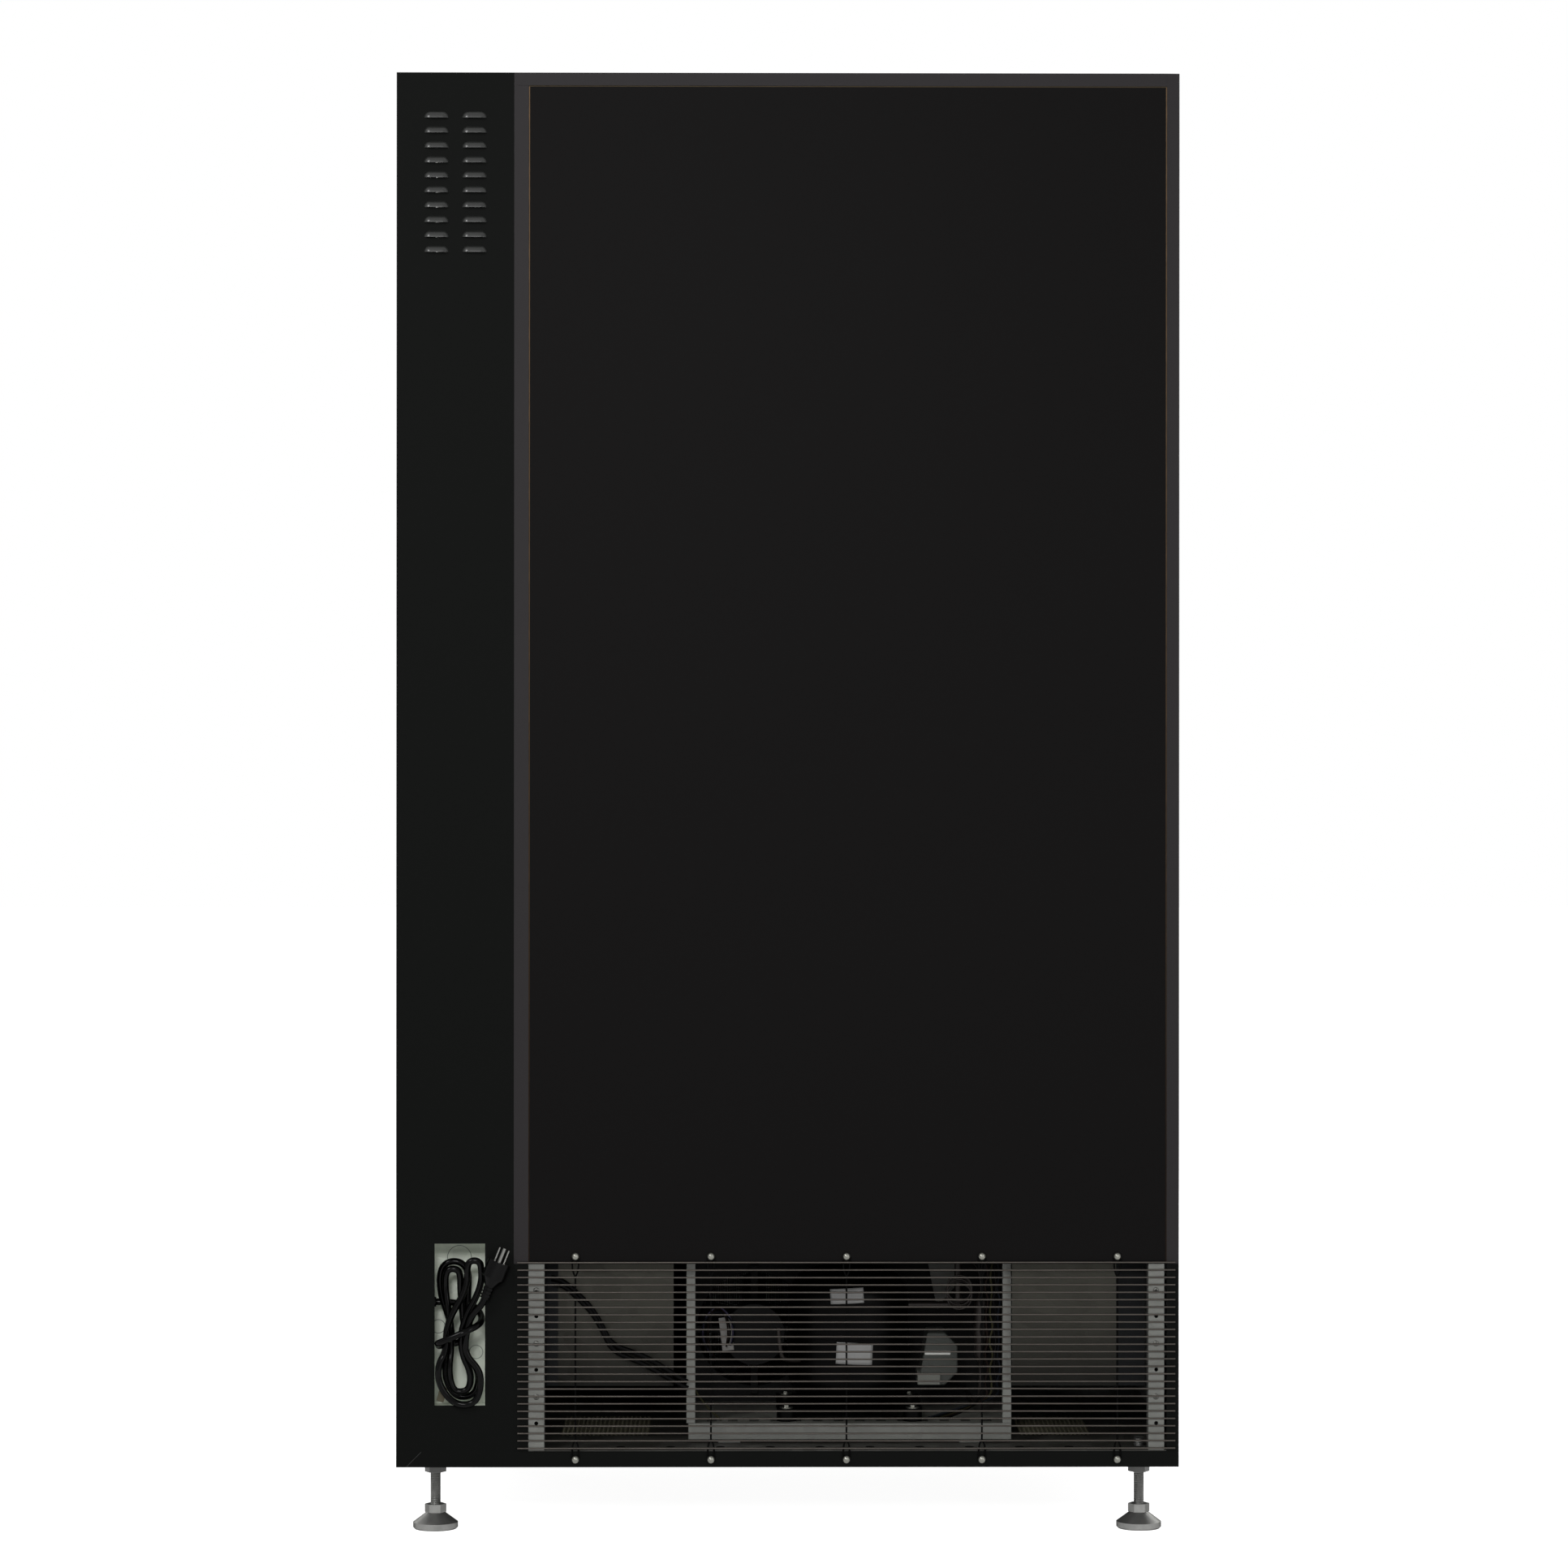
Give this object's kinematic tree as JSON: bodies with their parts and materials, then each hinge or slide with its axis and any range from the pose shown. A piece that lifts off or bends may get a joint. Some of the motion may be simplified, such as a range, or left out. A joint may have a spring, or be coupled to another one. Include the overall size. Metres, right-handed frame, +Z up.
{
  "type": "snack and drink vending machine",
  "caption": "Free-standing snack and drink vending machine: insulated cabinet with spiral trays, hinged glass-front door with payment column, and a rear cooling bay behind a wire grille.",
  "frame": {"origin": "on the floor under the middle of the machine's box, its cord left out", "axes": "+Z up, +Y towards the service side at the back, +X towards the payment column"},
  "size_m": [1.04, 0.8789, 1.94],
  "materials": {
    "graphite_coat": "satin powder coat",
    "matt_black_coat": "matt powder coat",
    "rear_black_coat": "satin powder coat",
    "door_black_coat": "gloss powder coat",
    "bin_black_coat": "textured powder coat",
    "white_coat": "gloss white coat",
    "compressor_black": "gloss black enamel",
    "shroud_black": "moulded",
    "foam": "rigid polyurethane foam",
    "galvanised": "galvanised, fine spangle",
    "zinc_plate": "bright zinc plate",
    "spiral_zinc": "bright zinc plated wire",
    "grille_zinc": "zinc plated wire",
    "foot_zinc": "zinc plated steel",
    "copper": "drawn tube",
    "fin_aluminium": "mill finish fins",
    "grey_plastic": "moulded",
    "fan_plastic": "moulded",
    "black_plastic": "moulded",
    "panel_plastic": "fine grain moulding",
    "screen_gloss": "glossy cover lens",
    "smoked_flap": "polished",
    "lamp_diffuser": "opal diffuser",
    "clear_glass": "tempered, clear",
    "gasket_rubber": "matt",
    "cord_pvc": "glossy PVC sheath",
    "handle_chrome": "polished"
  },
  "bodies": {
    "cabinet": {"outer_shell": "graphite_coat", "column_back_cover": "matt_black_coat", "rear_panel": "rear_black_coat", "foam_insulation": "foam", "inner_liner": "white_coat", "tray_rails": "zinc_plate", "cord_recess": "galvanised", "cord_hank": "cord_pvc", "cord_plug": "cord_pvc", "cord_gland": "black_plastic", "base_frame": "matt_black_coat", "rear_grille": "grille_zinc", "grille_screws": "zinc_plate", "machine_bay_frame": "galvanised", "cooling_deck": "galvanised", "compressor": "compressor_black", "compressor_mounts": "zinc_plate", "terminal_box": "grey_plastic", "condenser": "fin_aluminium", "fan_housing": "shroud_black", "refrigerant_pipes": "copper", "evaporator": "fin_aluminium", "air_duct": "white_coat", "kick_panel": "matt_black_coat", "hinge_brackets": "zinc_plate", "control_box": "galvanised"},
    "door": {"door_skin": "door_black_coat", "door_liner": "white_coat", "door_core": "foam", "window_frame": "black_plastic", "door_glass": "clear_glass", "door_lamps": "lamp_diffuser", "door_gasket": "gasket_rubber", "delivery_bin": "bin_black_coat", "payment_panel": "panel_plastic", "touch_screen": "screen_gloss", "card_reader": "screen_gloss", "bill_acceptor": "black_plastic", "coin_changer": "black_plastic"},
    "delivery_flap": {"delivery_flap": "smoked_flap"},
    "lock_handle": {"lock_handle": "handle_chrome"},
    "coin_return_button": {"coin_return_button": "handle_chrome"},
    "coin_cup_flap": {"coin_cup_flap": "smoked_flap"},
    "condenser_fan": {"condenser_fan": "fan_plastic"},
    "evaporator_fan": {"evaporator_fan": "fan_plastic"},
    "tray_1": {"tray_1": "zinc_plate"},
    "tray_2": {"tray_2": "zinc_plate"},
    "tray_3": {"tray_3": "zinc_plate"},
    "tray_4": {"tray_4": "zinc_plate"},
    "tray_5": {"tray_5": "zinc_plate"},
    "spiral_1": {"spiral_1": "spiral_zinc"},
    "spiral_2": {"spiral_2": "spiral_zinc"},
    "spiral_3": {"spiral_3": "spiral_zinc"},
    "spiral_4": {"spiral_4": "spiral_zinc"},
    "spiral_5": {"spiral_5": "spiral_zinc"},
    "foot_1": {"foot_1": "foot_zinc"},
    "foot_2": {"foot_2": "foot_zinc"},
    "foot_3": {"foot_3": "foot_zinc"},
    "foot_4": {"foot_4": "foot_zinc"}
  },
  "joints": [
    {"name": "door_hinge", "type": "hinge", "parent": "cabinet", "child": "door", "pos_m": [-0.506, -0.329, 1.154], "axis": [0, 0, -1], "range_deg": [0, 110]},
    {"name": "delivery_flap_hinge", "type": "hinge", "parent": "door", "child": "delivery_flap", "pos_m": [-0.05008, -0.3905, 0.634], "axis": [1, 0, 0], "range_deg": [0, 70]},
    {"name": "lock_handle_turn", "type": "hinge", "parent": "door", "child": "lock_handle", "pos_m": [0.42, -0.408, 0.83496], "axis": [0, 1, 0], "range_deg": [0, 90]},
    {"name": "coin_return_press", "type": "slide", "parent": "door", "child": "coin_return_button", "axis": [0, 1, 0], "range_m": [0, 0.004], "stiffness_N_per_m": 400, "springref_m": -0.002},
    {"name": "coin_cup_flap_hinge", "type": "hinge", "parent": "door", "child": "coin_cup_flap", "pos_m": [0.42, -0.402, 0.77195], "axis": [1, 0, 0], "range_deg": [0, 60]},
    {"name": "condenser_fan_spin", "type": "hinge", "parent": "cabinet", "child": "condenser_fan", "pos_m": [0.04401, 0.1216, 0.238], "axis": [0, 1, 0], "continuous": true},
    {"name": "evaporator_fan_spin", "type": "hinge", "parent": "cabinet", "child": "evaporator_fan", "pos_m": [-0.08401, 0.1886, 0.5895], "axis": [0, 1, 0], "continuous": true},
    {"name": "tray_1_slide", "type": "slide", "parent": "cabinet", "child": "tray_1", "axis": [0, -1, 0], "range_m": [0, 0.085]},
    {"name": "tray_2_slide", "type": "slide", "parent": "cabinet", "child": "tray_2", "axis": [0, -1, 0], "range_m": [0, 0.085]},
    {"name": "tray_3_slide", "type": "slide", "parent": "cabinet", "child": "tray_3", "axis": [0, -1, 0], "range_m": [0, 0.085]},
    {"name": "tray_4_slide", "type": "slide", "parent": "cabinet", "child": "tray_4", "axis": [0, -1, 0], "range_m": [0, 0.085]},
    {"name": "tray_5_slide", "type": "slide", "parent": "cabinet", "child": "tray_5", "axis": [0, -1, 0], "range_m": [0, 0.085]},
    {"name": "spiral_1_turn", "type": "hinge", "parent": "tray_1", "child": "spiral_1", "pos_m": [-0.3892, 0.257, 1.67472], "axis": [0, 1, 0], "continuous": true},
    {"name": "spiral_2_turn", "type": "hinge", "parent": "tray_1", "child": "spiral_2", "pos_m": [-0.2336, 0.257, 1.67472], "axis": [0, 1, 0], "continuous": true},
    {"name": "spiral_3_turn", "type": "hinge", "parent": "tray_1", "child": "spiral_3", "pos_m": [-0.078, 0.257, 1.67472], "axis": [0, 1, 0], "continuous": true},
    {"name": "spiral_4_turn", "type": "hinge", "parent": "tray_1", "child": "spiral_4", "pos_m": [0.0776, 0.257, 1.67472], "axis": [0, 1, 0], "continuous": true},
    {"name": "spiral_5_turn", "type": "hinge", "parent": "tray_1", "child": "spiral_5", "pos_m": [0.2332, 0.257, 1.67472], "axis": [0, 1, 0], "continuous": true},
    {"name": "foot_1_screw", "type": "slide", "parent": "cabinet", "child": "foot_1", "axis": [0, 0, 1], "range_m": [-0.03, 0.04]},
    {"name": "foot_2_screw", "type": "slide", "parent": "cabinet", "child": "foot_2", "axis": [0, 0, 1], "range_m": [-0.03, 0.04]},
    {"name": "foot_3_screw", "type": "slide", "parent": "cabinet", "child": "foot_3", "axis": [0, 0, 1], "range_m": [-0.03, 0.04]},
    {"name": "foot_4_screw", "type": "slide", "parent": "cabinet", "child": "foot_4", "axis": [0, 0, 1], "range_m": [-0.03, 0.04]}
  ]
}
